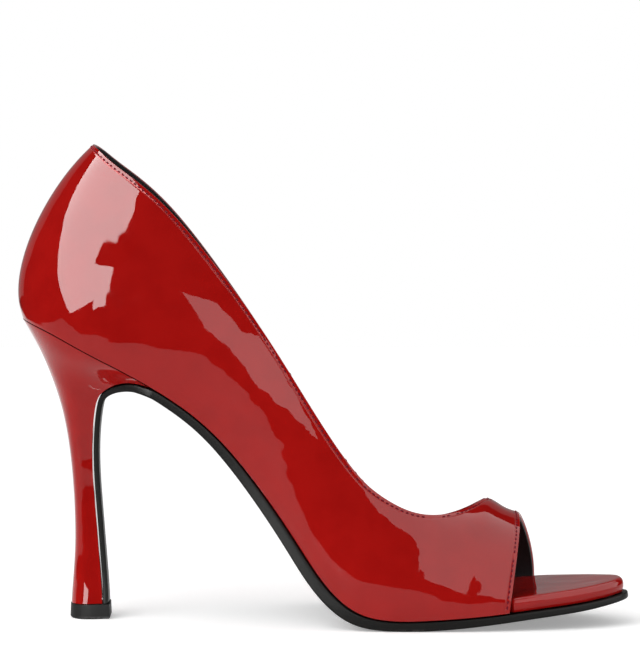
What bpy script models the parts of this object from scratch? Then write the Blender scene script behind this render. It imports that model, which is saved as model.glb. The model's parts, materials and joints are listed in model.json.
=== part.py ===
"""Left peep toe pump in red patent leather, European size 38, on a covered stiletto heel.

The shoe stands on the floor at z = 0. +X points to the toe, +Y to the outer side of the foot
and +Z up. The origin is the centre of the heel tip's lower face. All sizes are in metres.
"""

import math

import bmesh
import bpy
import numpy as np

MM = 0.001

# Overall sizes of the shoe.
HEEL_HEIGHT = 105.0 * MM  # floor to the back edge of the heel seat
BACK_HEIGHT = 60.6 * MM  # back edge of the seat to the top of the back seam
SOLE_REACH = 210.6 * MM  # back edge of the seat to the tip of the toe, along the floor
BALL_WIDTH = 73.0 * MM  # sole across the ball of the foot
HEEL_SET = 23.3 * MM  # how far the seat's back edge lies behind the middle of the heel tip
TOE_SPRING = 7.8 * MM  # lift of the sole's top from the ball to the tip of the toe
HEEL_ROUND = 25.0 * MM  # length of the rounded back of the seat
TOE_ROUND = 40.0 * MM  # length of the rounded toe

# Thicknesses and the clearance between pieces.
WALL = 1.8 * MM  # upper leather with its lining
SOLE_BALL = 3.5 * MM  # outsole under the ball
SOLE_BREAST = 2.1 * MM  # outsole at its foot, where it runs down the front of the heel
INSOLE_SEAT = 3.0 * MM  # insole in the heel seat
INSOLE_TOE = 5.0 * MM  # wrapped insole that shows in the open toe
RIM_ROUND = 1.6 * MM  # rounding of the wrapped insole's rim
SOLE_ROUND = 0.7 * MM  # rounding of the outsole's edges
TOE_REVEAL = 0.7 * MM  # how far the outsole's edge stands out from the wrapped insole
CLEAR = 0.3 * MM  # gap between pieces that touch on the real shoe

# Heel block and heel tip.
BREAST_REACH = 45.5 * MM  # seat's back edge to the front of the heel block
STEM_WIDTH = 11.0 * MM  # heel across its narrowest part
TIP_WIDTH = 15.5 * MM
TIP_LENGTH = 14.2 * MM
TIP_HEIGHT = 5.4 * MM
TIP_FLARE = 0.35 * MM  # how far the tip stands out all round from the block above it
TIP_ROUND = 0.5 * MM  # bevel round the tip's lower edge
TIP_FLAT = 0.58  # share of the tip's length that isn't rounded
BREAST_TAPER = 0.12  # how much narrower the heel is at its breast, as a share of its width
FLAT_SPOT = 0.2 * MM  # the outsole is worn flat on the floor where it lies this close to it
BREAST_BEND = 3.0 * MM  # length of the outsole's bend from the arch down to the heel's breast
BREAST_THIN = 5 / 7  # share of the breast's height over which the outsole stays thin

# Vamp and toe opening. Sections are counted back from the toe opening.
VAMP_START = 6  # where the outward directions begin to turn straight across the shoe
VAMP_TURNED = 2.5  # where they have turned
VAMP_AHEAD = 0.07  # how far those directions point ahead, as a share
BOW_START = 2  # where the walls begin to bow towards the toe opening's edge
BOW_OUTER = 4.0 * MM  # how far the outer wall's foot leans ahead at the opening
BOW_INNER = 1.4 * MM  # how far the inner wall's foot leans back at the opening

# How finely the surfaces are divided.
COLUMNS_PER_SECTION = 4
WALL_ROWS = 12
OUTLINE_STEPS = 46
HEEL_LEVELS = 28
HEEL_POINT_COUNT = 15
LONGEST_STEP = 7.0 * MM
LARGEST_TURN = 8.0

# Top of the outsole, from the back of the seat to the tip of the toe. reach is a share of
# SOLE_REACH, up of the heel's rise above the ball and spring of TOE_SPRING; centre and half place
# the sole's edges across the shoe, as shares of BALL_WIDTH, with + towards the outer side; thick
# is the outsole's thickness as a share of SOLE_BALL.
SEAT_LINE = (
    ("reach", "up", "spring", "centre", "half", "thick"),
    (0.000, 1.000, 0.00, 0.000, 0.338, 0.86),
    (0.046, 0.965, 0.00, 0.000, 0.340, 0.86),
    (0.105, 0.902, 0.00, 0.000, 0.342, 0.86),
    (0.160, 0.842, 0.00, 0.002, 0.333, 0.86),
    (0.226, 0.763, 0.00, 0.010, 0.310, 0.88),
    (0.299, 0.652, 0.00, 0.027, 0.302, 0.94),
    (0.378, 0.472, 0.00, 0.040, 0.329, 1.12),
    (0.456, 0.245, 0.00, 0.027, 0.405, 1.22),
    (0.510, 0.092, 0.00, 0.007, 0.462, 1.25),
    (0.554, 0.024, 0.00, -0.007, 0.490, 1.18),
    (0.603, 0.001, 0.00, -0.016, 0.500, 1.01),
    (0.671, 0.000, 0.02, -0.032, 0.488, 1.02),
    (0.768, 0.000, 0.22, -0.075, 0.434, 0.93),
    (0.847, 0.000, 0.46, -0.110, 0.375, 0.86),
    (0.925, 0.000, 0.70, -0.150, 0.335, 0.80),
    (1.000, 0.000, 1.00, -0.192, 0.285, 0.70),
)

# Sections of the upper, from the back seam to the open toe. inner and outer are the reach of the
# section's foot on each side. The top lies ahead of the inner foot by fore and above it by rise,
# shares of BACK_HEIGHT; top_in and top_out place it across, as shares of BALL_WIDTH, and drop is
# how much lower the outer top lies. splay is the wall's outward slope at the foot and lean its
# inward slope at the top, in degrees; low and high are the fullness near foot and top.
UPPER_SECTIONS = (
    ("inner", "outer", "fore", "rise", "top_in", "top_out", "drop", "splay", "lean", "low", "high"),
    (0.000, 0.000, 0.411, 1.000, 0.000, 0.000, 0.000, 24, 50, 0.27, 0.31),
    (0.012, 0.012, 0.412, 0.982, -0.135, 0.135, 0.000, 21, 43, 0.29, 0.31),
    (0.050, 0.050, 0.391, 0.944, -0.225, 0.225, 0.008, 17, 29, 0.32, 0.32),
    (0.112, 0.112, 0.361, 0.918, -0.285, 0.285, 0.024, 14, 18, 0.35, 0.33),
    (0.178, 0.180, 0.362, 0.804, -0.325, 0.325, 0.050, 16, 14, 0.35, 0.33),
    (0.258, 0.262, 0.378, 0.596, -0.362, 0.365, 0.083, 22, 10, 0.35, 0.33),
    (0.348, 0.358, 0.363, 0.430, -0.392, 0.400, 0.107, 29, 12, 0.35, 0.33),
    (0.438, 0.452, 0.315, 0.432, -0.412, 0.420, 0.120, 26, 20, 0.35, 0.33),
    (0.510, 0.530, 0.281, 0.552, -0.415, 0.412, 0.125, 20, 30, 0.36, 0.34),
    (0.571, 0.598, 0.281, 0.582, -0.397, 0.350, 0.118, 16, 43, 0.36, 0.34),
    (0.628, 0.662, 0.281, 0.596, -0.322, 0.222, 0.082, 13, 58, 0.36, 0.35),
    (0.657, 0.695, 0.320, 0.630, -0.200, 0.060, 0.036, 12, 74, 0.36, 0.37),
    (0.685, 0.726, 0.297, 0.638, -0.088, -0.088, 0.000, 11, 90, 0.36, 0.38),
    (0.742, 0.788, 0.185, 0.577, -0.094, -0.094, 0.000, 9, 90, 0.35, 0.38),
    (0.801, 0.852, 0.068, 0.524, -0.100, -0.100, 0.000, 8, 90, 0.34, 0.38),
)

# Heel block from the seat down to the tip. back and breast are places fore and aft as shares of
# HEEL_SET and of the breast's reach ahead of the tip; back_up and breast_up are heights as shares
# of HEEL_HEIGHT; width runs from 0 at the stem to 1 at the seat; flat is the share of the
# section's length that isn't rounded.
HEEL_SECTIONS = (
    ("back", "back_up", "breast", "breast_up", "width", "flat"),
    (-0.835, 0.936, 0.740, 0.797, 0.830, 0.53),
    (-0.672, 0.862, 0.420, 0.787, 0.560, 0.54),
    (-0.525, 0.778, 0.180, 0.752, 0.330, 0.55),
    (-0.405, 0.690, 0.090, 0.690, 0.160, 0.56),
    (-0.318, 0.585, 0.050, 0.590, 0.062, 0.57),
    (-0.262, 0.470, 0.058, 0.470, 0.012, 0.58),
    (-0.232, 0.345, 0.101, 0.345, 0.000, 0.58),
    (-0.234, 0.225, 0.144, 0.225, 0.018, 0.58),
    (-0.265, 0.125, 0.180, 0.125, 0.060, 0.58),
)


def column(table, name):
    """One named column of a table as an array."""
    index = table[0].index(name)
    return np.array([row[index] for row in table[1:]], float)


def smooth_through(knots, values, at):
    """Natural cubic spline through values at knots, read at the places in at."""
    knots, values, at = (np.asarray(a, float) for a in (knots, values, at))
    gaps = np.diff(knots)
    steps = np.diff(values) / gaps
    count = len(knots)
    system = np.eye(count)
    right = np.zeros(count)
    for i in range(1, count - 1):
        system[i, i - 1 : i + 2] = gaps[i - 1], 2 * (gaps[i - 1] + gaps[i]), gaps[i]
        right[i] = 3 * (steps[i] - steps[i - 1])
    bend = np.linalg.solve(system, right)
    slope = steps - gaps * (2 * bend[:-1] + bend[1:]) / 3
    piece = np.clip(np.searchsorted(knots, at, "right") - 1, 0, count - 2)
    run = at - knots[piece]
    cube = (bend[piece + 1] - bend[piece]) / (3 * gaps[piece])
    return values[piece] + run * (slope[piece] + run * (bend[piece] + run * cube))


def ease(share):
    """Smooth step from 0 to 1."""
    share = np.clip(share, 0.0, 1.0)
    return share * share * (3 - 2 * share)


def unit(vectors):
    """Vectors scaled to length 1, along the last axis."""
    vectors = np.asarray(vectors, float)
    return vectors / np.linalg.norm(vectors, axis=-1, keepdims=True)


class Track:
    """A smooth line in the XZ plane, read by distance along it. It runs on straight at its ends."""

    FINE = 1200

    def __init__(self, xs, zs):
        chord = np.hypot(np.diff(xs), np.diff(zs))
        knots = np.concatenate([[0], np.cumsum(chord)])
        fine = np.linspace(0, knots[-1], self.FINE)
        self.x = smooth_through(knots, xs, fine)
        self.z = smooth_through(knots, zs, fine)
        run = np.hypot(np.diff(self.x), np.diff(self.z))
        self.distance = np.concatenate([[0], np.cumsum(run)])
        self.length = self.distance[-1]
        self.dx, self.dz = unit(
            np.stack([np.gradient(self.x, self.distance), np.gradient(self.z, self.distance)], 1)
        ).T

    def distance_near(self, points):
        """Distances along the line of points that lie on it, in order."""
        steps = np.hypot(*np.diff(points[:, (0, 2)], axis=0).T)
        start = np.argmin(np.hypot(self.x - points[0, 0], self.z - points[0, 2]))
        return self.distance[start] + np.concatenate([[0], np.cumsum(steps)])

    def at_reach(self, x):
        """Distance along the line at which it passes x."""
        return np.interp(x, self.x, self.distance)

    def place(self, distance, across, lift):
        """Points lifted square to the line, above it where it runs towards +X."""
        distance = np.asarray(distance, float)
        inside = np.clip(distance, 0, self.length)
        over = distance - inside
        dx = np.interp(inside, self.distance, self.dx)
        dz = np.interp(inside, self.distance, self.dz)
        scale = np.hypot(dx, dz)
        dx, dz = dx / scale, dz / scale
        x = np.interp(inside, self.distance, self.x) + over * dx - lift * dz
        z = np.interp(inside, self.distance, self.z) + over * dz + lift * dx
        return np.stack([x, across + 0 * x, z], -1)


def seat_track():
    """Top of the outsole and of the heel seat, from the back of the seat to the tip of the toe."""
    xs = column(SEAT_LINE, "reach") * SOLE_REACH - HEEL_SET
    rise = HEEL_HEIGHT - SOLE_BALL
    zs = SOLE_BALL + column(SEAT_LINE, "up") * rise + column(SEAT_LINE, "spring") * TOE_SPRING
    return Track(xs, zs)


def round_end(distance, length):
    """Share of the full width at a distance from a rounded end."""
    left = np.clip(1 - distance / length, 0, 1)
    return np.sqrt(1 - left * left)


def sole_edges(seat, distance):
    """Inner and outer edge of the sole across the shoe, at distances along the seat line."""
    knots = seat.at_reach(column(SEAT_LINE, "reach") * SOLE_REACH - HEEL_SET)
    centre = smooth_through(knots, column(SEAT_LINE, "centre"), distance) * BALL_WIDTH
    half = smooth_through(knots, column(SEAT_LINE, "half"), distance) * BALL_WIDTH
    ends = round_end(distance, HEEL_ROUND) * round_end(seat.length - distance, TOE_ROUND)
    return centre - half * ends, centre + half * ends


def end_steps(length, first_round, last_round, count):
    """Distances from 0 to length, closer together in the rounded ends."""
    bare = (1 - np.cos(np.linspace(0, math.pi / 2, count // 4 + 1))) * first_round
    tail = length - (1 - np.cos(np.linspace(0, math.pi / 2, count // 3 + 1))) * last_round
    middle = np.linspace(bare[-1], tail[-1], count - len(bare) - len(tail) + 2)
    return np.concatenate([bare, middle[1:-1], tail[::-1]])


def inset_loop(loop, inset):
    """Clockwise loop in a plane moved inwards by inset, a number or one value for each point."""
    ahead = np.roll(loop, -1, 0) - np.roll(loop, 1, 0)
    normal = unit(np.stack([-ahead[:, 1], ahead[:, 0]], 1))
    return loop - normal * np.reshape(inset, (-1, 1))


def new_object(name, mesh, colour, roughness, coat=0.0):
    """Links a mesh as a named object with its own material, shaded smooth between sharp edges."""
    bm = bmesh.new()
    bm.from_mesh(mesh)
    bmesh.ops.recalc_face_normals(bm, faces=bm.faces)
    bm.to_mesh(mesh)
    bm.free()
    mesh.shade_smooth()
    mesh.set_sharp_from_angle(angle=math.radians(38))
    material = bpy.data.materials.new(name + "_finish")
    material.use_nodes = True
    shader = material.node_tree.nodes["Principled BSDF"]
    shader.inputs["Base Color"].default_value = (*colour, 1)
    shader.inputs["Roughness"].default_value = roughness
    shader.inputs["Metallic"].default_value = 0.0
    shader.inputs["Coat Weight"].default_value = coat
    mesh.materials.append(material)
    obj = bpy.data.objects.new(name, mesh)
    bpy.context.scene.collection.objects.link(obj)
    return obj


def stacked_mesh(name, loops, columns):
    """Closed mesh through stacked loops of paired points.

    Every loop starts at one end of the piece, runs down one side to the other end and comes back
    on the other side, so point i faces point -i. The first and last loop are closed by rungs
    between facing points, divided into columns.
    """
    loops = np.asarray(loops, float)
    levels, count, _ = loops.shape
    half = count // 2
    points = [tuple(p) for p in loops.reshape(-1, 3)]
    faces = []
    for level in range(levels - 1):
        low, high = level * count, (level + 1) * count
        for i in range(count):
            j = (i + 1) % count
            faces.append((low + i, low + j, high + j, high + i))
    for level in (0, levels - 1):
        start = level * count
        rungs = [[start]]
        for i in range(1, half):
            near, far = loops[level, i], loops[level, count - i]
            rung = [start + i]
            for k in range(1, columns):
                rung.append(len(points))
                points.append(tuple(near + (far - near) * k / columns))
            rungs.append([*rung, start + count - i])
        rungs.append([start + half])
        for one, two in zip(rungs, rungs[1:]):
            cells = max(len(one), len(two)) - 1
            for k in range(cells):
                cell = [one[min(k, len(one) - 1)], one[min(k + 1, len(one) - 1)]]
                cell += [two[min(k + 1, len(two) - 1)], two[min(k, len(two) - 1)]]
                cell = list(dict.fromkeys(cell))
                faces.append(tuple(cell if level else cell[::-1]))
    mesh = bpy.data.meshes.new(name)
    mesh.from_pydata(points, [], faces)
    return mesh


def upper_surface(seat):
    """Outer surface of the upper: columns of points from foot to top, inner toe to outer toe."""
    sections = len(UPPER_SECTIONS) - 2
    knots = np.arange(-sections, sections + 1)
    u = np.linspace(-sections, sections, 2 * sections * COLUMNS_PER_SECTION + 1)

    def both(inner, outer=None):
        """A column for the inner side, mirrored on to the outer side unless that has its own."""
        inner = column(UPPER_SECTIONS, inner)
        outer = inner if outer is None else column(UPPER_SECTIONS, outer)
        return smooth_through(knots, np.concatenate([inner[::-1], outer[1:]]), u)

    foot_reach = np.clip(both("inner", "outer"), 0, 1)
    foot_distance = seat.at_reach(foot_reach * SOLE_REACH - HEEL_SET)
    inner_edge, outer_edge = sole_edges(seat, foot_distance)
    foot = seat.place(foot_distance, np.where(u < 0, inner_edge, outer_edge), CLEAR)

    base_distance = seat.at_reach(both("inner") * SOLE_REACH - HEEL_SET)
    base = seat.place(np.clip(base_distance, 0, None), 0, 0)
    drop = np.where(u > 0, both("drop"), 0)
    top = base.copy()
    top[:, 0] += both("fore") * BACK_HEIGHT
    top[:, 1] = both("top_in", "top_out") * BALL_WIDTH
    top[:, 2] += (both("rise") - drop) * BACK_HEIGHT

    # Outward directions: square to the sole's edge at the back and straight across the shoe in
    # the vamp, so that both sides meet flat on its ridge.
    along = np.gradient(foot, axis=0)
    square = unit(np.stack([-along[:, 1], along[:, 0], 0 * u], 1))
    across = np.stack([0 * u + VAMP_AHEAD, np.sign(u), 0 * u], 1)
    to_toe = sections - np.abs(u)
    vamp = ease((VAMP_START - to_toe) / (VAMP_START - VAMP_TURNED))[:, None]
    out = unit(square * (1 - vamp) + across * vamp)

    chord = top - foot
    size = np.linalg.norm(chord, axis=1, keepdims=True)

    def slanted(outward, degrees):
        """Direction up the wall, turned outwards by an angle."""
        up = unit(chord - outward * np.sum(chord * outward, 1, keepdims=True))
        angle = np.radians(degrees)[:, None]
        return up * np.cos(angle) + outward * np.sin(angle)

    low = foot + slanted(out, both("splay")) * size * both("low")[:, None]
    low[:, 0] += np.where(u > 0, BOW_OUTER, -BOW_INNER) * ease((BOW_START - to_toe) / BOW_START)
    high = top - slanted(out, -both("lean")) * size * both("high")[:, None]
    v = np.linspace(0, 1, WALL_ROWS + 1)[None, :, None]
    foot, low, high, top = (p[:, None, :] for p in (foot, low, high, top))
    return foot * (1 - v) ** 3 + 3 * low * v * (1 - v) ** 2 + 3 * high * v * v * (1 - v) + top * v**3


def throat_column():
    """Column of the upper's grid at which the topline reaches the ridge of the vamp."""
    closed = np.isclose(column(UPPER_SECTIONS, "top_in"), column(UPPER_SECTIONS, "top_out"))
    first = np.flatnonzero(closed)[1]
    return (len(UPPER_SECTIONS) - 2 - first) * COLUMNS_PER_SECTION


def build_upper(seat):
    """One hollow wall, open at the collar, at the toe and underneath."""
    grid = upper_surface(seat)
    columns, rows, _ = grid.shape
    joined = throat_column()
    index = np.arange(columns * rows).reshape(columns, rows)
    for c in range(joined + 1):
        grid[c, -1] = grid[-1 - c, -1] = (grid[c, -1] + grid[-1 - c, -1]) / 2
        index[-1 - c, -1] = index[c, -1]
    faces = [
        (index[c, r], index[c + 1, r], index[c + 1, r + 1], index[c, r + 1])
        for c in range(columns - 1)
        for r in range(rows - 1)
    ]
    mesh = bpy.data.meshes.new("upper")
    mesh.from_pydata([tuple(p) for p in grid.reshape(-1, 3)], [], faces)
    bm = bmesh.new()
    bm.from_mesh(mesh)
    bmesh.ops.delete(bm, geom=[v for v in bm.verts if not v.link_faces], context="VERTS")
    bm.to_mesh(mesh)
    bm.free()
    upper = new_object("upper", mesh, (0.42, 0.012, 0.012), 0.08, 1.0)
    wall = upper.modifiers.new("wall", "SOLIDIFY")
    wall.thickness = WALL
    wall.offset = -1.0
    wall.use_even_offset = True
    return upper


def outline(seat, distances):
    """Sole's outline as a flat loop of (distance, across), from the toe by the inner side."""
    inner, outer = sole_edges(seat, distances)
    back = distances[::-1]
    one = np.stack([back, inner[::-1]], 1)
    two = np.stack([distances[1:-1], outer[1:-1]], 1)
    return np.concatenate([one, two])


def build_insole(seat):
    """Insole board: narrow inside the upper, full width with a round wrapped rim in the toe."""
    steps = end_steps(seat.length, HEEL_ROUND, TOE_ROUND, OUTLINE_STEPS)
    step_over = 1.2 * MM
    last = UPPER_SECTIONS[-1]
    names = UPPER_SECTIONS[0]
    ends = [
        seat.at_reach(last[names.index(side)] * SOLE_REACH - HEEL_SET) + 2 * CLEAR
        for side in ("inner", "outer")
    ]
    shoulders = [end + k * step_over for end in ends for k in (0, 1)]
    steps = np.unique(np.concatenate([steps, shoulders]))
    kept = [steps[0]]
    for step in steps[1:]:
        if step - kept[-1] > 0.3 * step_over or step in shoulders:
            kept.append(step)
    loop = outline(seat, np.array(kept))
    centre = np.mean(loop[:, 1])
    wrapped = np.where(
        loop[:, 1] < centre,
        (loop[:, 0] - ends[0]) / step_over,
        (loop[:, 0] - ends[1]) / step_over,
    )
    wrapped = np.clip(wrapped, 0, 1)
    hidden = WALL + 2 * CLEAR
    inset = hidden + (TOE_REVEAL - hidden) * wrapped
    thick = INSOLE_SEAT + (INSOLE_TOE - INSOLE_SEAT) * ease((loop[:, 0] / seat.length - 0.3) / 0.3)
    levels = ((RIM_ROUND, 0.0), (0.45 * RIM_ROUND, 0.22), (0.0, 0.5))
    loops = []
    for drawn_in, height in levels:
        flat = inset_loop(loop, inset + drawn_in * 0.6)
        loops.append(seat.place(flat[:, 0], flat[:, 1], CLEAR + thick * height))
    for turn in np.linspace(math.radians(30), math.radians(90), 3):
        drawn_in = RIM_ROUND * (1 - math.cos(turn))
        flat = inset_loop(loop, inset + drawn_in)
        lift = CLEAR + thick - RIM_ROUND * (1 - math.sin(turn))
        loops.append(seat.place(flat[:, 0], flat[:, 1], lift))
    mesh = stacked_mesh("insole", loops, 4)
    return new_object("insole", mesh, (0.40, 0.012, 0.012), 0.12, 1.0)


def heel_sections(seat, levels):
    """Side-view line and half width of the heel at levels from 0 at the seat to the tip.

    Each line runs from the back of the heel at place 0 to its breast at place 1.
    """
    reach = BREAST_REACH - HEEL_SET
    front_distance = seat.at_reach(reach)
    front = seat.place(front_distance, 0, 0)
    foot = TIP_LENGTH / 2 - TIP_FLARE
    seat_width = 2 * column(SEAT_LINE, "half")[1] * BALL_WIDTH
    shares = column(HEEL_SECTIONS, "width")
    curves = (
        [-HEEL_SET, *column(HEEL_SECTIONS, "back") * HEEL_SET, -foot],
        [HEEL_HEIGHT, *column(HEEL_SECTIONS, "back_up") * HEEL_HEIGHT, TIP_HEIGHT],
        [front[0], *column(HEEL_SECTIONS, "breast") * reach, foot - SOLE_BREAST - CLEAR],
        [front[2], *column(HEEL_SECTIONS, "breast_up") * HEEL_HEIGHT, TIP_HEIGHT],
        [seat_width, *(STEM_WIDTH + shares * (seat_width - STEM_WIDTH)), TIP_WIDTH - 2 * TIP_FLARE],
        [0.5, *column(HEEL_SECTIONS, "flat"), TIP_FLAT],
    )
    knots = np.arange(len(curves[0]))
    places = (1 - np.cos(np.linspace(0, math.pi, HEEL_POINT_COUNT))) / 2
    on_seat = seat.place(places * front_distance, 0, 0)[:, (0, 2)]
    inner, outer = sole_edges(seat, places * front_distance)
    for level in levels:
        back_x, back_z, breast_x, breast_z, width, flat = (
            smooth_through(knots, curve, [level])[0] for curve in curves
        )
        back, breast = np.array([back_x, back_z]), np.array([breast_x, breast_z])
        line = back + (breast - back) * places[:, None]
        half = d_shape(places, flat) * width / 2
        blend = ease(1 - level)
        line = line + (on_seat - line) * blend
        yield line, -half + (inner + half) * blend, half + (outer - half) * blend


def d_shape(places, flat):
    """Half width, as a share, of a section that is round at place 0 and cut off at place 1."""
    rounded = round_end(places, 1 - flat)
    return rounded * (1 - BREAST_TAPER * ease((places - 1 + flat) / flat))


def d_loop(line, inner, outer):
    """Loop round a D-shaped section, from the middle of its cut-off front by the inner side."""
    near = np.stack([line[:, 0], inner, line[:, 1]], 1)[::-1]
    far = np.stack([line[:, 0], outer, line[:, 1]], 1)
    return np.concatenate([[(near[0] + far[-1]) / 2], near, far[1:]])


def heel_level_count():
    """Highest level of the heel's sections, at the tip."""
    return len(HEEL_SECTIONS)


def build_heel(seat):
    """Covered heel block, lofted from the tilted seat down to the level top of the heel tip."""
    levels = np.linspace(0, heel_level_count(), HEEL_LEVELS)
    loops = [d_loop(*section) for section in heel_sections(seat, levels)]
    mesh = stacked_mesh("heel", loops, 4)
    return new_object("heel", mesh, (0.40, 0.012, 0.012), 0.08, 1.0)


def build_heel_tip():
    """Rubber heel tip: a flat D that flares slightly beyond the heel block."""
    places = (1 - np.cos(np.linspace(0, math.pi, HEEL_POINT_COUNT))) / 2
    loops = []
    for height, inset in ((0, TIP_ROUND), (TIP_ROUND, 0), (TIP_HEIGHT - CLEAR, TIP_FLARE / 2)):
        half = d_shape(places, TIP_FLAT) * (TIP_WIDTH / 2 - inset)
        xs = (places - 0.5) * (TIP_LENGTH - 2 * inset)
        loops.append(d_loop(np.stack([xs, 0 * xs + height], 1), -half, half))
    mesh = stacked_mesh("heel_tip", loops, 4)
    return new_object("heel_tip", mesh, (0.012, 0.012, 0.013), 0.45)


def build_outsole(seat):
    """Outsole from the tip of the toe, over the arch and down the heel's breast to the tip."""
    levels = np.linspace(heel_level_count(), 0, 60)[:-1]
    corners = [(*line[-1], near[-1], far[-1]) for line, near, far in heel_sections(seat, levels)]
    corners = np.array(corners)
    breast = Track(corners[:, 0], corners[:, 1])
    knots = np.concatenate([[0], np.cumsum(np.hypot(*np.diff(corners[:, :2], axis=0).T))])
    down = breast.place(knots, 0, -CLEAR)
    front = seat.at_reach(BREAST_REACH - HEEL_SET)
    ahead = np.linspace(front + BREAST_BEND, seat.length, 60)
    along = seat.place(ahead, 0, 0)
    track = Track(*np.concatenate([down, along])[:, (0, 2)].T)
    ends = np.concatenate([track.distance_near(down), track.distance_near(along)])
    inner, outer = sole_edges(seat, ahead)
    near = np.concatenate([corners[:, 2], inner])
    far = np.concatenate([corners[:, 3], outer])

    steps = paced_steps(track, TOE_ROUND)
    left, right = np.interp(steps, ends, near), np.interp(steps, ends, far)
    tail = track.length - steps < TOE_ROUND
    toe_inner, toe_outer = sole_edges(seat, seat.length - (track.length - steps[tail]))
    left[tail], right[tail] = toe_inner, toe_outer
    one = np.stack([steps, left], 1)[::-1]
    two = np.stack([steps, right], 1)[:-1]
    middle = [[0, (left[0] + right[0]) / 2]]
    loop = np.concatenate([one, middle, two])
    on_seat = np.clip(loop[:, 0] - track.length + seat.length, front, None)
    places = seat.at_reach(column(SEAT_LINE, "reach") * SOLE_REACH - HEEL_SET)
    thick = smooth_through(places, column(SEAT_LINE, "thick") * SOLE_BALL, on_seat)
    risen = loop[:, 0] / ends[len(down) - 1]
    thicker = ease((risen - BREAST_THIN) / (1 - BREAST_THIN))
    thick = SOLE_BREAST + (thick - SOLE_BREAST) * thicker
    loops = []
    for inset, top_share, fixed in (
        (SOLE_ROUND, 1, 0),
        (0.3 * SOLE_ROUND, 1, 0.3 * SOLE_ROUND),
        (0, 1, SOLE_ROUND),
        (0, 0, -0.4 * SOLE_ROUND),
        (0.4 * SOLE_ROUND, 0, 0),
    ):
        flat = inset_loop(loop, inset)
        loops.append(track.place(flat[:, 0], flat[:, 1], fixed - top_share * thick))
    for loop in loops[:1]:
        low = loop[:, 2] < FLAT_SPOT
        loop[low, 2] = 0
    mesh = stacked_mesh("outsole", loops, 4)
    return new_object("outsole", mesh, (0.012, 0.012, 0.013), 0.35)


def paced_steps(track, tail):
    """Distances along a track, closer together where it turns and in its rounded tail."""
    turn = np.abs(np.diff(np.unwrap(np.arctan2(track.dz, track.dx))))
    work = np.diff(track.distance) / LONGEST_STEP + np.degrees(turn) / LARGEST_TURN
    work = np.concatenate([[0], np.cumsum(work)])
    steps = np.interp(np.linspace(0, work[-1], int(work[-1]) + 1), work, track.distance)
    ends = track.length - (1 - np.cos(np.linspace(0, math.pi / 2, 13))) * tail
    return np.concatenate([steps[steps < ends[-1] - 0.5 * LONGEST_STEP], ends[::-1]])


def main():
    """Clears the scene and builds the pieces of the shoe."""
    for obj in list(bpy.data.objects):
        bpy.data.objects.remove(obj)
    seat = seat_track()
    build_upper(seat)
    build_insole(seat)
    build_outsole(seat)
    build_heel(seat)
    build_heel_tip()


main()
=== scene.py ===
# %% [markdown]
# # A peep toe pump in red patent leather
#
# The shoe stands on a pale studio floor, seen from its inner side. Its solids come from the
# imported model: the upper, the insole, the outsole, the heel and the heel tip. This script gives
# each of them its finished surface, adds the leather's lining, sock and stitches, and lights it.
#
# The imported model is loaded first, because every piece is placed and sized from it.

# %% Load the shoe
import json
import math

import bpy
import numpy as np
from mathutils import Matrix, Vector, kdtree

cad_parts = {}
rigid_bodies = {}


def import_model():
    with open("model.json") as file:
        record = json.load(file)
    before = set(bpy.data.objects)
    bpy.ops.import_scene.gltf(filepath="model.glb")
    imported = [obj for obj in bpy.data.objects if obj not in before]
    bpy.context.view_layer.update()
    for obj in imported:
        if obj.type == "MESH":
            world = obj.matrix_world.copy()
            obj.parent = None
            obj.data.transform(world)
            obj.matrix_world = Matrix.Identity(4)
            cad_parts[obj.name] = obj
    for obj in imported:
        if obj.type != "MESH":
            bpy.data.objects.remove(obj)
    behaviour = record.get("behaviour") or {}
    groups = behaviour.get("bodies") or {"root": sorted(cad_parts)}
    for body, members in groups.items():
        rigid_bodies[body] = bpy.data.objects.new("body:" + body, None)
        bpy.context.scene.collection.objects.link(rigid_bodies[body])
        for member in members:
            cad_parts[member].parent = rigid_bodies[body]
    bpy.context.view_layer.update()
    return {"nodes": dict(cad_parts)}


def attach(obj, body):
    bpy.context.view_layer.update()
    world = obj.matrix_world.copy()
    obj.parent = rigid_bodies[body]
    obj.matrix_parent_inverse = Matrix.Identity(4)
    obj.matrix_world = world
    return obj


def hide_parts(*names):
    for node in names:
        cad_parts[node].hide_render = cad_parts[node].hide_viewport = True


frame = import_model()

MM = 0.001
ROOT = "root"
nodes = frame["nodes"]

# %% [markdown]
# ## The camera
#
# The photograph looks level at the shoe from its inner side and a little from above, through a
# long lens, so that near and far edges hardly differ in scale. The camera is placed by the point
# it looks at, a distance, a height angle and the width of the view at the shoe.

# %% Place the camera
VIEW_TARGET = Vector((80.4 * MM, 0, 103 * MM))
VIEW_DISTANCE = 1550 * MM
VIEW_WIDTH = 223.2 * MM
VIEW_HEIGHT_ANGLE = math.radians(4.6)

view_back = Vector((0, -math.cos(VIEW_HEIGHT_ANGLE), math.sin(VIEW_HEIGHT_ANGLE)))
bpy.ops.object.camera_add(location=VIEW_TARGET + view_back * VIEW_DISTANCE)
camera = bpy.context.object
camera.rotation_euler = view_back.to_track_quat("Z", "Y").to_euler()
camera.data.sensor_fit = "HORIZONTAL"
camera.data.lens = camera.data.sensor_width * VIEW_DISTANCE / VIEW_WIDTH
camera.data.clip_end = 20
bpy.context.scene.camera = camera
bpy.context.scene.view_settings.view_transform = "Standard"
print("lens", round(camera.data.lens), "mm")

# %% [markdown]
# ## Helpers for modelling
#
# Operators act on whatever is selected. `only` selects one piece and nothing else, `edit` opens
# it with nothing selected in it, and `modify` adds a modifier and applies it at once. `solid_copy`
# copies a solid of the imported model: its loose triangles are merged and joined to four-sided
# faces, which a subdivision surface rounds evenly.


# %% Select, edit and modify
SHARP = 50
MERGE_WITHIN = 0.002 * MM


def only(piece):
    """Selects one piece and makes it the active one."""
    bpy.ops.object.select_all(action="DESELECT")
    piece.select_set(True)
    bpy.context.view_layer.objects.active = piece


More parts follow.
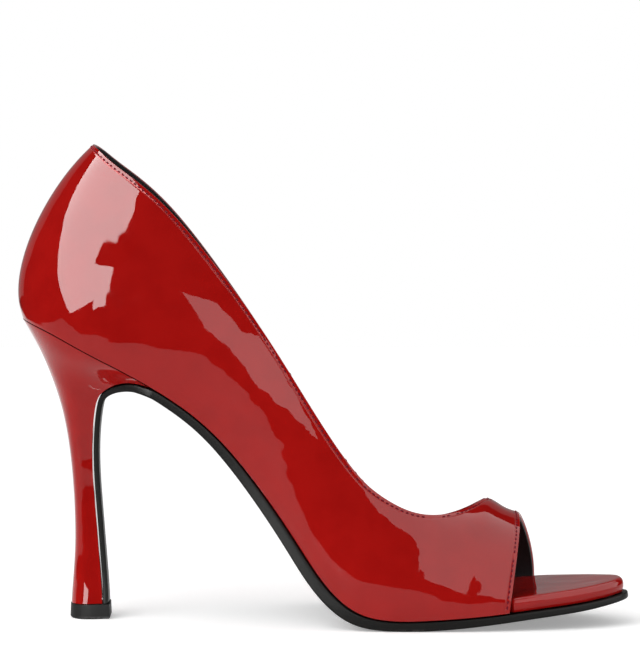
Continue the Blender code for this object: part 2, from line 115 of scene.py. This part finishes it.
def edit(piece, select="FACE"):
    """Opens a piece in edit mode with nothing selected."""
    only(piece)
    bpy.ops.object.mode_set(mode="EDIT")
    bpy.ops.mesh.select_mode(type=select)
    bpy.ops.mesh.select_all(action="DESELECT")


def close():
    """Goes back to object mode."""
    bpy.ops.object.mode_set(mode="OBJECT")


def modify(piece, kind, **settings):
    """Adds a modifier with these settings and applies it."""
    only(piece)
    modifier = piece.modifiers.new(kind.lower(), kind)
    for name, value in settings.items():
        setattr(modifier, name, value)
    bpy.ops.object.modifier_apply(modifier=modifier.name)


def solid_copy(node, name):
    """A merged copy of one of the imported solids, in four-sided faces."""
    piece = bpy.data.objects.new(name, nodes[node].data.copy())
    bpy.context.scene.collection.objects.link(piece)
    piece.data.materials.clear()
    edit(piece)
    bpy.ops.mesh.customdata_custom_splitnormals_clear()
    bpy.ops.mesh.select_all(action="SELECT")
    bpy.ops.mesh.remove_doubles(threshold=MERGE_WITHIN)
    bpy.ops.mesh.tris_convert_to_quads(
        face_threshold=math.radians(40), shape_threshold=math.radians(70)
    )
    close()
    return piece


def subdivide(piece, levels, sharp=SHARP):
    """Rounds a piece with a subdivision surface that keeps edges sharper than an angle."""
    edit(piece, "EDGE")
    bpy.ops.mesh.edges_select_sharp(sharpness=math.radians(sharp))
    bpy.ops.transform.edge_crease(value=1)
    close()
    modify(
        piece, "SUBSURF", levels=levels, render_levels=levels, boundary_smooth="PRESERVE_CORNERS"
    )


def shade(piece, angle=40):
    """Shades a piece smooth, with hard lines only where faces meet at more than an angle."""
    only(piece)
    bpy.ops.object.shade_smooth_by_angle(angle=math.radians(angle))
    print(piece.name, len(piece.data.polygons), "faces")


# %% [markdown]
# ## Helpers for finishes
#
# A finish is a node tree. `Value` wraps one socket so that Python's own operators add Math nodes,
# and `Finish.add` makes every other node from its type, its settings and its sockets.


# %% Node helpers
class Value:
    """A shader socket on which Python's operators add Math nodes."""

    def __init__(self, finish, socket):
        self.finish, self.socket = finish, socket

    def math(self, operation, *others):
        inputs = dict(enumerate((self, *others)))
        return self.finish.add("Math", {"operation": operation}, inputs)["Value"]

    def __add__(self, other):
        return self.math("ADD", other)

    def __sub__(self, other):
        return self.math("SUBTRACT", other)

    def __mul__(self, other):
        return self.math("MULTIPLY", other)

    def __rsub__(self, other):
        return (self * -1) + other

    __radd__, __rmul__ = __add__, __mul__

    def between(self, low, high):
        """0 below low, 1 above high and a smooth step between them."""
        settings = {"interpolation_type": "SMOOTHSTEP"}
        inputs = {"Value": self, "From Min": low, "From Max": high}
        return self.finish.add("MapRange", settings, inputs)["Result"]


class Outputs:
    """The outputs of a node, by name, as values."""

    def __init__(self, finish, node):
        self.finish, self.node = finish, node

    def __getitem__(self, name):
        return Value(self.finish, self.node.outputs[name])


class Finish:
    """A material with a Principled shader, built up from nodes."""

    def __init__(self, name, **sockets):
        self.material = bpy.data.materials.new(name)
        self.material.use_nodes = True
        self.tree = self.material.node_tree
        self.shader = self.tree.nodes["Principled BSDF"]
        for socket, value in sockets.items():
            self.set(socket.replace("_", " "), value)

    def add(self, kind, settings=None, inputs=None):
        """Adds a node, sets it, and then gives its sockets their values or links."""
        node = self.tree.nodes.new("ShaderNode" + kind)
        for name, value in (settings or {}).items():
            setattr(node, name, value)
        for name, value in (inputs or {}).items():
            self.join(value, node.inputs[name])
        return Outputs(self, node)

    def join(self, value, socket):
        """Links a value to a socket, or sets the socket to a constant."""
        if isinstance(value, Value):
            self.tree.links.new(value.socket, socket)
        else:
            socket.default_value = value

    def set(self, name, value):
        """Sets or links a socket of the shader."""
        if isinstance(value, tuple) and len(value) == 3:
            value = (*value, 1)
        self.join(value, self.shader.inputs[name])

    def place(self, scale=(1, 1, 1)):
        """Object coordinates, stretched by a scale along each axis."""
        where = self.add("TexCoord")["Object"]
        return self.add("Mapping", None, {"Vector": where, "Scale": scale})["Vector"]

    def noise(self, size, detail=2.0, rough=0.5, where=None):
        """Noise with features of about a size in metres, from 0 to 1."""
        inputs = {"Vector": where or self.place(), "Scale": 1 / size}
        inputs |= {"Detail": detail, "Roughness": rough}
        return self.add("TexNoise", None, inputs)["Fac"]

    def along(self, attribute):
        """An attribute that was stored on the piece's points."""
        return self.add("Attribute", {"attribute_name": attribute})["Fac"]

    def mix(self, share, first, second):
        """Mixes two colours."""
        first, second = (
            (*c, 1) if isinstance(c, tuple) and len(c) == 3 else c for c in (first, second)
        )
        settings = {"data_type": "RGBA"}
        node = self.add("Mix", settings, {"Factor": share}).node
        self.join(first, node.inputs[6])
        self.join(second, node.inputs[7])
        return Value(self, node.outputs[2])

    def bump(self, height, distance, below=None):
        """Raises the surface by height times a distance in metres, over another bump."""
        inputs = {"Height": height, "Distance": distance, "Strength": 1.0}
        if below:
            inputs["Normal"] = below
        return self.add("Bump", None, inputs)["Normal"]


# %% [markdown]
# ## Patent leather
#
# Patent leather is dyed leather under a thick clear lacquer. The lacquer mirrors the studio, and
# the leather under it gives a deep, even red. One Principled shader does both: its base colour is
# the dyed leather, and a very low roughness makes its mirror layer the lacquer. The shader's
# separate coat isn't used, because it would stay flat where the leather swells.
#
# The lacquer isn't quite flat: the leather swells and sinks by about a tenth of a millimetre over a
# centimetre or so, which bends the edges of reflections, and a finer orange peel lies over that.
# `UNEVEN` lists these layers from the coarsest to the finest. Each is a bump made of noise.
#
# On the upper, the finish also reads how far each point lies from the topline and from the toe
# opening. Thread pulls the leather down in a narrow groove there, which loses some of its gloss.
# The red in the groove is also darkened, as painted shade.

# %% Patent leather finish
PATENT_RED = (0.30, 0.005, 0.004)
PATENT_DARK = (0.20, 0.002, 0.002)
PATENT_CLOUDED = 0.25
CLOUD_SIZE = 9 * MM
SMEAR_SIZE = 7 * MM
LACQUER_IOR = 1.32
LACQUER_GLOSS = 0.02
LACQUER_SMEARED = 0.03
UNEVEN = (  # size and detail of the noise, and height of the bump
    (15 * MM, 1.0, 0.40 * MM),
    (5 * MM, 1.0, 0.035 * MM),
    (1.4 * MM, 2.0, 0.003 * MM),
)
SEAM_INSET = 1.6 * MM
SEAM_GROOVE = 0.5 * MM
GROOVE_DEEP = 0.07 * MM
# share of painted shade that darkens the red in the seams' grooves
GROOVE_PAINTED_SHADE = 0.45
GROOVE_DULL = 0.3


def patent(name, seams=()):
    """Red patent leather, with a pulled-in groove beside each seam, its red darkened as painted
    shade.
    """
    finish = Finish(name, IOR=LACQUER_IOR)
    normal = None
    for size, detail, height in UNEVEN:
        normal = finish.bump(finish.noise(size, detail), height, normal)
    pulled = 0.0
    for seam, inset in seams:
        away = finish.along(seam)
        off_line = (away - inset).math("ABSOLUTE")
        pulled = (1 - off_line.between(0.0, SEAM_GROOVE)) + pulled
    if seams:
        normal = finish.bump(1 - pulled, GROOVE_DEEP, normal)
    cloud = finish.noise(CLOUD_SIZE, 3.0).between(0.35, 0.7)
    red = finish.mix(cloud * PATENT_CLOUDED, PATENT_RED, PATENT_DARK)
    if seams:
        # painted shade: the red in the groove is darkened towards PATENT_DARK
        red = finish.mix(pulled * GROOVE_PAINTED_SHADE, red, PATENT_DARK)
    finish.set("Base Color", red)
    smear = finish.noise(SMEAR_SIZE, 4.0).between(0.35, 0.75)
    finish.set("Roughness", smear * LACQUER_SMEARED + LACQUER_GLOSS + pulled * GROOVE_DULL)
    finish.set("Normal", normal)
    return finish.material


# %% [markdown]
# ## The upper
#
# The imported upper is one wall, 1.8 mm thick. Its outer sheet is cut free and rounded with a
# subdivision surface, and then given the thickness of folded leather. Its inner sheet becomes a
# separate lining.

# %% Cut the sheets free
LEATHER_THICK = 1.1 * MM
LINING_THICK = 0.6 * MM
FOLD_ROUND = 0.45 * MM
FOLD_SHARP = 60
SQUARELY = 0.8


def keep_sheet(piece, facing):
    """Keeps the one sheet that holds the nearest face looking towards a direction."""
    edit(piece, "EDGE")
    bpy.ops.mesh.edges_select_sharp(sharpness=math.radians(SHARP))
    bpy.ops.mesh.mark_seam()
    close()
    looking = [p for p in piece.data.polygons if p.normal.y * facing > SQUARELY]
    first = min(looking, key=lambda p: p.center.y).index
    edit(piece)
    close()
    piece.data.polygons[first].select = True
    only(piece)
    bpy.ops.object.mode_set(mode="EDIT")
    bpy.ops.mesh.select_linked(delimit={"SEAM"})
    bpy.ops.mesh.select_all(action="INVERT")
    bpy.ops.mesh.delete(type="FACE")
    bpy.ops.mesh.select_all(action="SELECT")
    bpy.ops.mesh.mark_seam(clear=True)
    close()


leather = solid_copy("upper", "upper_leather")
keep_sheet(leather, facing=-1)
lining = solid_copy("upper", "upper_lining")
keep_sheet(lining, facing=1)
for sheet in (leather, lining):
    modify(sheet, "SUBSURF", levels=2, render_levels=2, boundary_smooth="PRESERVE_CORNERS")
    print(sheet.name, len(sheet.data.polygons), "faces")

# %% [markdown]
# The open edges of the leather sheet are measured before it gets its thickness: they are the
# topline round the foot, and the edge of the toe opening. The second one is a part of the lower
# edge of the sheet, between its two corners.


# %% Measure the edges
CORNERS_APART = 20 * MM


def edge_loops(piece):
    """The open edges of a sheet as loops of points, in order."""
    mesh = piece.data
    used = np.zeros(len(mesh.edges), int)
    for polygon in mesh.polygons:
        for loop in polygon.loop_indices:
            used[mesh.loops[loop].edge_index] += 1
    beside = {}
    for edge in mesh.edges:
        if used[edge.index] == 1:
            a, b = edge.vertices
            beside.setdefault(a, []).append(b)
            beside.setdefault(b, []).append(a)
    loops = []
    while beside:
        start = at = next(iter(beside))
        loop, last = [], None
        while at in beside:
            loop.append(at)
            ways = beside.pop(at)
            at, last = next((w for w in ways if w != last and w in beside), start), at
        loops.append(np.array([mesh.vertices[i].co for i in loop]))
    return loops


def resampled(points, step, closed):
    """Points at even steps along a line."""
    if closed:
        points = np.concatenate([points, points[:1]])
    run = np.concatenate([[0], np.cumsum(np.linalg.norm(np.diff(points, axis=0), axis=1))])
    count = round(run[-1] / step)
    at = np.linspace(0, run[-1], count + 1)
    if closed:
        at = at[:-1]
    return np.stack([np.interp(at, run, points[:, k]) for k in range(3)], 1)


def corners_of(loop):
    """The two points at which a loop turns most sharply."""
    ahead = np.roll(loop, -3, 0) - loop
    behind = loop - np.roll(loop, 3, 0)
    ahead /= np.linalg.norm(ahead, axis=1, keepdims=True)
    behind /= np.linalg.norm(behind, axis=1, keepdims=True)
    turn = np.sum(ahead * behind, 1)
    first = int(np.argmin(turn))
    far = np.linalg.norm(loop - loop[first], axis=1) > CORNERS_APART
    second = int(np.argmin(np.where(far, turn, 2)))
    return sorted((first, second))


topline, low_edge = sorted(edge_loops(leather), key=lambda loop: -loop[:, 2].mean())
one, two = corners_of(low_edge)
arcs = (low_edge[one : two + 1], np.concatenate([low_edge[two:], low_edge[: one + 1]]))
toe_edge = min(arcs, key=len)
print("topline", len(topline), "points; toe edge", len(toe_edge), "points")

# %% [markdown]
# Now the leather gets its thickness and its rounded fold, and each of its points learns how far
# it lies from both edges. A distance changes evenly over the surface, so it can be stored on
# points that are a millimetre apart and still draw a groove half a millimetre wide.

# %% Thickness, fold and distances
LINE_STEP = 0.25 * MM

modify(leather, "SOLIDIFY", thickness=LEATHER_THICK, offset=-1, use_even_offset=True)
modify(
    leather, "BEVEL", width=FOLD_ROUND, segments=3, limit_method="ANGLE",
    angle_limit=math.radians(FOLD_SHARP),
)


def store_distance(piece, name, line, closed):
    """Stores each point's distance from a line on the piece."""
    fine = resampled(line, LINE_STEP, closed)
    tree = kdtree.KDTree(len(fine))
    for i, point in enumerate(fine):
        tree.insert(point, i)
    tree.balance()
    values = [tree.find(v.co)[2] for v in piece.data.vertices]
    piece.data.attributes.new(name, "FLOAT", "POINT").data.foreach_set("value", values)


store_distance(leather, "from_topline", topline, True)
store_distance(leather, "from_toe_edge", toe_edge, False)
leather.data.materials.append(
    patent("patent_upper", (("from_topline", SEAM_INSET), ("from_toe_edge", SEAM_INSET)))
)
shade(leather)
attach(leather, ROOT)
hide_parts("upper")

# %% [markdown]
# ## The lining
#
# The lining is thin black leather with a fine grain. It lies against the inside of the red
# leather and ends level with the fold.

# %% Lining
LINING_COLOUR = (0.0045, 0.003, 0.0035)
LINING_GLOSS = 0.5
LINING_GRAIN = 0.9 * MM
LINING_DEEP = 0.05 * MM

modify(lining, "SOLIDIFY", thickness=LINING_THICK, offset=-1, use_even_offset=True)


def grained(name, colour, gloss, grain, depth):
    """Plain leather with a fine grain."""
    finish = Finish(name, IOR=1.45, Specular_IOR_Level=0.3)
    cells = finish.add(
        "TexVoronoi", {"feature": "SMOOTH_F1"}, {"Vector": finish.place(), "Scale": 1 / grain}
    )["Distance"]
    fine = finish.noise(grain / 4, 3.0)
    finish.set("Normal", finish.bump(cells + fine * 0.3, depth))
    shade_of = finish.noise(12 * MM, 3.0).between(0.3, 0.7)
    finish.set("Base Color", finish.mix(shade_of, colour, tuple(c * 1.5 for c in colour)))
    finish.set("Roughness", fine.between(0.3, 0.7) * 0.12 + gloss)
    return finish.material


lining_black = grained(
    "lining_black", LINING_COLOUR, LINING_GLOSS, LINING_GRAIN, LINING_DEEP
)
lining.data.materials.append(lining_black)
shade(lining)
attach(lining, ROOT)

# %% [markdown]
# ## The insole
#
# The board inside the shoe is wrapped in the same red patent leather where it shows in the open
# toe. Its solid already has the round rim, so it is only subdivided.

# %% Insole
insole = solid_copy("insole", "insole_wrap")
subdivide(insole, 2)
insole.data.materials.append(patent("patent_insole"))
shade(insole)
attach(insole, ROOT)
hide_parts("insole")

# %% [markdown]
# ## The sock
#
# A thin black sock of lining leather covers the insole from the heel to the ball of the foot, and
# leaves the red bare in the open toe. It is the top of the insole's solid, cut straight across,
# and lifted by its own thickness.

# %% Sock
SOCK_FRONT = 122 * MM
SOCK_THICK = 0.5 * MM
SOCK_UPWARD = 0.45

sock = solid_copy("insole", "insole_sock")
edit(sock)
close()
for polygon in sock.data.polygons:
    polygon.select = polygon.normal.z < SOCK_UPWARD
bpy.ops.object.mode_set(mode="EDIT")
bpy.ops.mesh.delete(type="FACE")
bpy.ops.mesh.select_all(action="SELECT")
bpy.ops.mesh.bisect(plane_co=(SOCK_FRONT, 0, 0), plane_no=(1, 0, 0), clear_outer=True)
close()
modify(sock, "SUBSURF", levels=1, render_levels=1, boundary_smooth="PRESERVE_CORNERS")
modify(sock, "SOLIDIFY", thickness=SOCK_THICK, offset=1, use_even_offset=True)
sock.data.materials.append(lining_black)
shade(sock)
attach(sock, ROOT)

# %% [markdown]
# ## The outsole, the heel and the heel tip
#
# The outsole is thin black rubber, satin on its edge and rubbed paler under the ball of the foot.
# The heel is covered with the upper's leather. The heel tip is a harder, duller rubber.


# %% Outsole, heel and heel tip
SOLE_BLACK, SOLE_WORN = (0.005, 0.005, 0.0045), (0.12, 0.115, 0.11)
TIP_BLACK, TIP_WORN = (0.009, 0.009, 0.009), (0.10, 0.10, 0.10)
WORN_BELOW = 1.2 * MM
RUBBER_PITTED = 0.03 * MM


def black_rubber(name, colour, worn, gloss, grain):
    """Black rubber, paler where it rubs on the floor."""
    finish = Finish(name, IOR=1.4, Specular_IOR_Level=0.15)
    height = finish.add("SeparateXYZ", None, {"Vector": finish.place()})["Z"]
    scuff = finish.noise(2.5 * MM, 6.0, 0.65, finish.place((0.35, 1, 1))).between(0.45, 0.62)
    low = (1 - height.between(0.0, WORN_BELOW)) * scuff
    finish.set("Base Color", finish.mix(low, colour, worn))
    finish.set("Roughness", finish.noise(1.2 * MM, 4.0) * 0.12 + low * 0.2 + gloss)
    finish.set("Normal", finish.bump(finish.noise(grain, 4.0, 0.6), RUBBER_PITTED))
    return finish.material


outsole = solid_copy("outsole", "outsole_black")
subdivide(outsole, 2)
outsole.data.materials.append(
    black_rubber("sole_rubber", SOLE_BLACK, SOLE_WORN, gloss=0.34, grain=0.5 * MM)
)
heel = solid_copy("heel", "heel_cover")
subdivide(heel, 2)
heel.data.materials.append(patent("patent_heel"))
heel_tip = solid_copy("heel_tip", "heel_tip_black")
subdivide(heel_tip, 2, 30)
heel_tip.data.materials.append(
    black_rubber("tip_rubber", TIP_BLACK, TIP_WORN, gloss=0.45, grain=0.35 * MM)
)
for piece, node in ((outsole, "outsole"), (heel, "heel"), (heel_tip, "heel_tip")):
    shade(piece)
    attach(piece, ROOT)
    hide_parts(node)

# %% [markdown]
# ## Stitches
#
# Each seam is a row of short stitches in dull, dark red thread. One stitch is modelled, as a
# stretched ball whose ends dip into the leather, and copied along the seam. Every copy lies on the
# leather, turned along the edge it follows.

# %% Stitches
STITCH_PITCH = 1.85 * MM
STITCH_LONG = 1.25 * MM
STITCH_WIDE = 0.62 * MM
STITCH_TALL = 0.6 * STITCH_WIDE
STITCH_LIFT = 0.02 * MM
THREAD_DARK = (0.09, 0.003, 0.010)
THREAD_PALE = (0.15, 0.006, 0.016)
THREAD_TWIST = 0.3 * MM


def row_of_stitches(name, line, closed, inset):
    """A row of stitches on the leather, an inset below a line."""
    places = resampled(line, STITCH_PITCH, closed)
    stitches = []
    count = len(places)
    for i in range(count):
        if not closed and not 0 < i < count - 1:
            continue
        here = Vector(places[i])
        ahead = Vector(places[(i + 1) % count] - places[i - 1]).normalized()
        _, _, normal, _ = leather.closest_point_on_mesh(here)
        down = normal.cross(ahead).normalized()
        spots = [leather.closest_point_on_mesh(here + down * inset * s) for s in (1, -1)]
        gaps = [(spot[1] - (here + down * inset * s)).length for spot, s in zip(spots, (1, -1))]
        _, spot, normal, _ = spots[int(gaps[1] < gaps[0])]
        side = normal.cross(ahead).normalized()
        ahead = side.cross(normal)
        turn = Matrix((ahead, side, normal)).transposed().to_4x4()
        turn.translation = spot + normal * STITCH_LIFT
        stitches.append(turn)
    bpy.ops.mesh.primitive_uv_sphere_add(segments=8, ring_count=6, radius=0.5)
    stitch = bpy.context.object
    stitch.rotation_euler = (0, math.pi / 2, 0)
    bpy.ops.object.transform_apply(rotation=True)
    stitch.scale = (STITCH_LONG, STITCH_WIDE, STITCH_TALL)
    bpy.ops.object.transform_apply(scale=True)
    copies = []
    for turn in stitches:
        copy = stitch.copy()
        copy.data = stitch.data.copy()
        copy.data.transform(turn)
        bpy.context.scene.collection.objects.link(copy)
        copies.append(copy)
    bpy.data.objects.remove(stitch)
    bpy.ops.object.select_all(action="DESELECT")
    for copy in copies:
        copy.select_set(True)
    bpy.context.view_layer.objects.active = copies[0]
    bpy.ops.object.join()
    row = bpy.context.object
    row.name = name
    print(name, len(copies), "stitches")
    return row


thread = Finish("thread_red", IOR=1.45, Roughness=0.8, Specular_IOR_Level=0.05)
twist = thread.noise(THREAD_TWIST, 2.0)
thread.set("Base Color", thread.mix(twist, THREAD_DARK, THREAD_PALE))
rows = (
    row_of_stitches("stitches_topline", topline, True, SEAM_INSET),
    row_of_stitches("stitches_toe", toe_edge, False, SEAM_INSET),
)
for row in rows:
    row.data.materials.clear()
    row.data.materials.append(thread.material)
    shade(row, 80)
    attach(row, ROOT)

# %% [markdown]
# ## The studio
#
# Patent leather shows its surroundings more than its own colour, so the studio is built for what
# the lacquer mirrors. The shoe stands near the front edge of a white table: the leather's lower
# half mirrors the table, and above that the room is dark, which leaves the red deep.
#
# The table is a plane with an even, faint mottle of paper. Like a light table it glows a little
# from below, which keeps the shadow under the shoe pale.

# %% Table
TABLE_FRONT = -250 * MM
TABLE_BACK = 1100 * MM
TABLE_LEFT = -300 * MM
TABLE_RIGHT = 530 * MM
PAPER_DIM, PAPER_PALE = (0.88, 0.88, 0.88), (0.90, 0.90, 0.90)
PAPER_GLOW = 0.30
PAPER_MOTTLE = 0.3

bpy.ops.mesh.primitive_plane_add(size=2)
floor = bpy.context.object
floor.name = "studio_floor"
floor.scale = ((TABLE_RIGHT - TABLE_LEFT) / 2, (TABLE_BACK - TABLE_FRONT) / 2, 1)
floor.location = ((TABLE_RIGHT + TABLE_LEFT) / 2, (TABLE_BACK + TABLE_FRONT) / 2, 0)
bpy.ops.object.transform_apply()
paper = Finish(
    "paper_white", Roughness=0.8, Specular_IOR_Level=0.1, Emission_Strength=PAPER_GLOW
)
mottle = paper.noise(PAPER_MOTTLE, 2.0)
paper.set("Base Color", paper.mix(mottle, PAPER_DIM, PAPER_PALE))
paper.set("Emission Color", (1, 1, 1))
floor.data.materials.append(paper.material)
print("table", [round(v, 2) for v in floor.dimensions], "m")

# %% [markdown]
# Soft light comes from all round, and a wide sun from the upper left front gives the forms their
# shading. Neither is mirrored, because the lights of a real studio are small next to the dark
# room behind the camera. The world shader tells the rays apart: what the camera sees past the
# table is white, what the lacquer mirrors is nearly black, and all other rays get soft light.

# %% Soft light
ROOM_WHITE = 1.0
ROOM_MIRRORED = 0.02
ROOM_SOFT = 0.64
KEY_STRENGTH = 1.1
KEY_TILT = 48
KEY_TURN = -50
KEY_SPREAD = 60

world = bpy.data.worlds.new("studio")
world.use_nodes = True
bpy.context.scene.world = world
room = world.node_tree
background = room.nodes["Background"]
background.inputs["Color"].default_value = (1, 1, 1, 1)
rays = room.nodes.new("ShaderNodeLightPath")


def pick(ray, yes, otherwise):
    """A world value for one kind of ray, and another for the rest."""
    node = room.nodes.new("ShaderNodeMix")
    room.links.new(rays.outputs[ray], node.inputs["Factor"])
    for value, socket in ((otherwise, node.inputs["A"]), (yes, node.inputs["B"])):
        if isinstance(value, float):
            socket.default_value = value
        else:
            room.links.new(value, socket)
    return node.outputs["Result"]


mirrored = pick("Is Glossy Ray", ROOM_MIRRORED, ROOM_SOFT)
room.links.new(pick("Is Camera Ray", ROOM_WHITE, mirrored), background.inputs["Strength"])

bpy.ops.object.light_add(
    type="SUN", rotation=(math.radians(KEY_TILT), 0, math.radians(KEY_TURN))
)
key = bpy.context.object
key.name = "key"
key.data.energy = KEY_STRENGTH
key.data.angle = math.radians(KEY_SPREAD)
key.visible_glossy = False

# %% [markdown]
# A weak panel beside the heel adds some light there, so that the red grows deeper from the heel
# towards the toe.

# %% Heel fill
FILL_SPOT = Vector((-150 * MM, -230 * MM, 260 * MM))
FILL_AIM = Vector((0, 0, 110 * MM))
FILL_SIZE = 250 * MM
FILL_POWER = 0.3

bpy.ops.object.light_add(type="AREA", location=FILL_SPOT)
fill = bpy.context.object
fill.name = "heel_fill"
fill.rotation_euler = (FILL_SPOT - FILL_AIM).to_track_quat("Z", "Y").to_euler()
fill.data.size = FILL_SIZE
fill.data.energy = FILL_POWER
fill.visible_camera = fill.visible_glossy = False

# %% [markdown]
# The bright shapes on the lacquer are softboxes. Each is placed the way a photographer would
# place it: from the spot of the shoe that has to show it, turned to one side and raised, at a
# distance. Only mirror rays see them, so that they can be moved without changing the exposure.
#
# `glow` is the brightness of the panel's face. The panels are glowing planes instead of lamps, so
# that a near one hides what is behind it and they never add up where they overlap. Two of them
# don't glow: they are black flags, which cut a notch in the heel's highlight and trim the patch
# over the arch.

# %% Softboxes
HEEL_CUP = Vector((0, -20 * MM, 120 * MM))
HEEL_FOOT = Vector((0, -7 * MM, 8 * MM))
ARCH = Vector((65 * MM, -30 * MM, 80 * MM))
VAMP = Vector((140 * MM, -35 * MM, 30 * MM))


def softbox(name, spot, side, raised, away, wide, tall, turned, glow):
    """A panel seen from a spot at a side angle and a height angle, turned in its own plane."""
    side, raised = math.radians(side), math.radians(raised)
    flat = math.cos(raised)
    out = Vector((math.sin(side) * flat, -math.cos(side) * flat, math.sin(raised)))
    bpy.ops.mesh.primitive_plane_add(size=1, location=spot + out * away)
    panel = bpy.context.object
    panel.name = name
    panel.scale = (wide, tall, 1)
    turn = Matrix.Rotation(math.radians(-turned), 3, out)
    panel.rotation_euler = (turn @ out.to_track_quat("Z", "Y").to_matrix()).to_euler()
    face = Finish(name + "_face", Emission_Strength=glow, Roughness=1.0, Specular_IOR_Level=0.0)
    face.set("Base Color", (0, 0, 0))
    face.set("Emission Color", (1, 1, 1))
    panel.data.materials.append(face.material)
    panel.visible_camera = panel.visible_diffuse = panel.visible_shadow = False
    print(name, round(wide / MM), "x", round(tall / MM), "mm")


GLOW_BRIGHT = 17.0
GLOW_SOFT = 4.1
GLOW_TOE = GLOW_SOFT * 0.8
GLOW_BACKDROP = 0.3
BLACK = 0.0
softbox("heel_high", HEEL_CUP, -43, 45, 150 * MM, 160 * MM, 460 * MM, -23, GLOW_BRIGHT)
softbox("heel_low", HEEL_CUP, -4, 1, 180 * MM, 30 * MM, 84 * MM, -8, GLOW_BRIGHT)
softbox("heel_flag", HEEL_CUP, -3, 22, 100 * MM, 42 * MM, 26 * MM, 20, BLACK)
softbox("heel_foot", HEEL_FOOT, -7, 3, 14 * MM, 7 * MM, 8 * MM, 20, GLOW_BRIGHT)
softbox("arch_strip", ARCH, -8, 9, 80 * MM, 52 * MM, 46 * MM, 87, GLOW_SOFT)
softbox("arch_flag", ARCH, 6, 42, 69 * MM, 38 * MM, 52 * MM, 73, BLACK)
softbox("toe_side", VAMP, 60, 17, 385 * MM, 560 * MM, 740 * MM, -56, GLOW_TOE)
softbox("overhead", VAMP, 93, 79, 680 * MM, 600 * MM, 1200 * MM, -14, GLOW_TOE)
softbox("backdrop", ARCH, 180, 18, 1500 * MM, 3600 * MM, 1300 * MM, 0, GLOW_BACKDROP)
